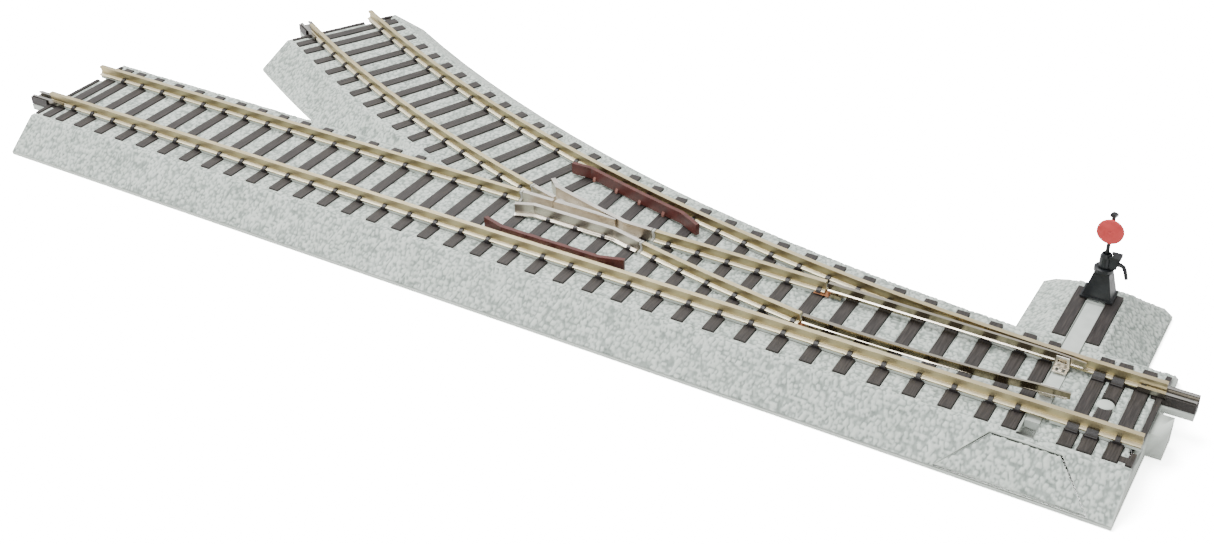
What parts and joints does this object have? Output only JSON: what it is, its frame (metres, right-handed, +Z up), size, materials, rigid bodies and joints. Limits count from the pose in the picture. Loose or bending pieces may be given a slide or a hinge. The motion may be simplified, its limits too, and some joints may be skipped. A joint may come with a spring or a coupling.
{
  "type": "model_railway_turnout",
  "caption": "Right-hand model railway turnout on moulded ballast roadbed, with moving blades, a swing-nose frog and a red-target switch stand",
  "frame": {"origin": "centre of the footprint of the whole turnout, on the plane that its roadbed rests on", "axes": "+X runs along the straight track towards the blades and the stand, +Y runs across it to the branch side, +Z is up"},
  "size_m": [0.3974, 0.1494, 0.0376],
  "materials": {
    "ballast": "pebbled, light grey",
    "bar_plastic": "smooth, light grey",
    "brass": "satin",
    "copper": "bright copper alloy",
    "guard_plastic": "satin, dark red-brown",
    "nickel_plate": "bright nickel plate",
    "nickel_silver": "drawn nickel silver, satin",
    "stand_black": "satin black",
    "steel": "satin",
    "target_red": "satin red",
    "tie": "wood grain, dark grey-brown"
  },
  "bodies": {
    "base": {"branch_inner_rail": "nickel_silver", "breakout_panel": "ballast", "cover_screw_far": "steel", "cover_screw_near": "steel", "curved_closure_rail": "nickel_silver", "curved_heel_contact": "copper", "curved_heel_rivet": "steel", "curved_stock_rail": "nickel_silver", "friction_spring": "brass", "frog_casting": "nickel_plate", "guard_rail_branch": "guard_plastic", "guard_rail_main": "guard_plastic", "head_ties": "tie", "insulator_branch": "bar_plastic", "insulator_curved": "bar_plastic", "insulator_exit": "bar_plastic", "insulator_straight": "bar_plastic", "lever_screw": "steel", "main_exit_rail": "nickel_silver", "mechanism_cover": "bar_plastic", "near_stock_rail": "nickel_silver", "rail_joiner_branch": "nickel_plate", "rail_joiner_main": "nickel_plate", "rail_joiner_toe": "nickel_plate", "roadbed": "ballast", "stand_base": "stand_black", "stand_ties": "tie", "straight_closure_rail": "nickel_silver", "straight_heel_contact": "copper", "straight_heel_rivet": "steel", "tie_moulding": "tie"},
    "target": {"target_spindle": "stand_black", "stand_head": "stand_black", "lever_bracket": "stand_black", "hand_lever": "stand_black", "target_disc": "target_red", "finial": "stand_black"},
    "bar": {"throw_bar": "bar_plastic"},
    "straight_blade_set": {"straight_blade": "nickel_silver", "straight_blade_clip": "nickel_plate"},
    "curved_blade_set": {"curved_blade": "nickel_silver", "curved_blade_clip": "nickel_plate"},
    "frog_lever_body": {"frog_lever": "bar_plastic"},
    "frog_point_set": {"frog_point": "nickel_plate", "frog_crank": "steel"}
  },
  "joints": [
    {"name": "target_turn", "type": "hinge", "parent": "base", "child": "target", "pos_m": [0.163, 0.00693, 0.015], "axis": [0, 0, 1], "range_deg": [0, 90.3]},
    {"name": "bar_slide", "type": "slide", "parent": "base", "child": "bar", "axis": [0, 1, 0], "range_m": [-0.0062, 0]},
    {"name": "straight_blade_hinge", "type": "hinge", "parent": "base", "child": "straight_blade_set", "pos_m": [0.099, -0.02958, 0.011], "axis": [0, 0, 1], "range_deg": [-5.49, 0]},
    {"name": "curved_blade_hinge", "type": "hinge", "parent": "base", "child": "curved_blade_set", "pos_m": [0.099, -0.04747, 0.011], "axis": [0, 0, 1], "range_deg": [-5.49, 0]},
    {"name": "frog_lever_hinge", "type": "hinge", "parent": "base", "child": "frog_lever_body", "pos_m": [0.0297, -0.02877, 0.004], "axis": [0, 0, 1], "range_deg": [-2.66, 0]},
    {"name": "frog_point_hinge", "type": "hinge", "parent": "base", "child": "frog_point_set", "pos_m": [0.0055, -0.02877, 0.012], "axis": [0, 0, 1], "range_deg": [-9.12, 0]}
  ],
  "couplings": [
    {"joint": "target_turn", "follows": "bar_slide", "rad_per_m": -253.35},
    {"joint": "straight_blade_hinge", "follows": "bar_slide", "rad_per_m": 15.432},
    {"joint": "curved_blade_hinge", "follows": "bar_slide", "rad_per_m": 15.432},
    {"joint": "frog_lever_hinge", "follows": "bar_slide", "rad_per_m": 7.4571},
    {"joint": "frog_point_hinge", "follows": "bar_slide", "rad_per_m": 25.611}
  ]
}
